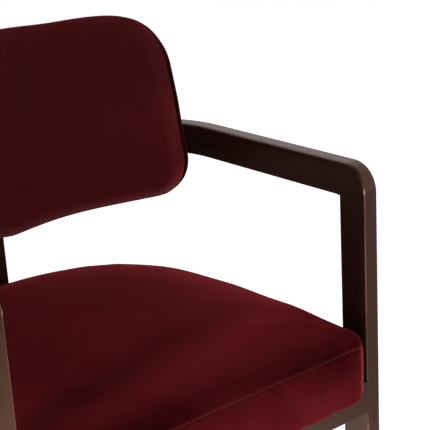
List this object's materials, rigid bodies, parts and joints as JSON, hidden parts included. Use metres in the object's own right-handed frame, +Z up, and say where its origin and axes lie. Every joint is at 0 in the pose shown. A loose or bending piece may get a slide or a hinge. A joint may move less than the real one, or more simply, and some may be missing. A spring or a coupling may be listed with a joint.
{
  "type": "restaurant armchair",
  "caption": "Restaurant armchair with a dark-stained board frame, arms rounded into the front legs, a thick velvet seat and a curved velvet back pad carried on a rear post.",
  "frame": {"origin": "on the floor, under the middle of the chair's box", "axes": "+Z up, -Y the way the chair faces, +X to the sitter's left"},
  "size_m": [0.56, 0.549, 0.8264],
  "materials": {
    "stained_wood": "satin dark stain",
    "bare_wood": "bare",
    "plywood": "bare",
    "velvet": "cut pile, burgundy",
    "foam": "matte",
    "black_cloth": "matte",
    "steel": "zinc plated",
    "nylon": "matte"
  },
  "bodies": {
    "root": {"arm_dowel_left_front": "bare_wood", "arm_dowel_left_rear": "bare_wood", "arm_dowel_right_front": "bare_wood", "arm_dowel_right_rear": "bare_wood", "arm_left": "stained_wood", "arm_right": "stained_wood", "back_block_left": "stained_wood", "back_block_middle": "stained_wood", "back_block_right": "stained_wood", "back_bolt_left": "steel", "back_bolt_middle": "steel", "back_bolt_right": "steel", "back_cover_front": "velvet", "back_cover_rear": "velvet", "back_foam": "foam", "back_post": "stained_wood", "back_rail": "stained_wood", "back_shell": "plywood", "bow_dowel_left_lower": "bare_wood", "bow_dowel_left_upper": "bare_wood", "bow_dowel_right_lower": "bare_wood", "bow_dowel_right_upper": "bare_wood", "dust_cloth": "black_cloth", "front_block_left": "bare_wood", "front_block_right": "bare_wood", "front_glide_left": "nylon", "front_glide_right": "nylon", "front_leg_bolt_left": "steel", "front_leg_bolt_right": "steel", "front_leg_left": "stained_wood", "front_leg_right": "stained_wood", "front_rail": "stained_wood", "post_bolt_lower": "steel", "post_bolt_upper": "steel", "post_dowel_left": "bare_wood", "post_dowel_right": "bare_wood", "rail_dowel_left_lower": "bare_wood", "rail_dowel_left_upper": "bare_wood", "rail_dowel_right_lower": "bare_wood", "rail_dowel_right_upper": "bare_wood", "rear_block_left": "bare_wood", "rear_block_right": "bare_wood", "rear_glide_left": "nylon", "rear_glide_right": "nylon", "rear_leg_bolt_left_lower": "steel", "rear_leg_bolt_left_upper": "steel", "rear_leg_bolt_right_lower": "steel", "rear_leg_bolt_right_upper": "steel", "rear_leg_left": "stained_wood", "rear_leg_right": "stained_wood", "rear_rail": "stained_wood", "seat_board": "plywood", "seat_cover": "velvet", "seat_foam": "foam", "seat_screw_front_left": "steel", "seat_screw_front_right": "steel", "seat_screw_rear_left": "steel", "seat_screw_rear_right": "steel", "side_rail_left": "stained_wood", "side_rail_right": "stained_wood"}
  },
  "joints": []
}
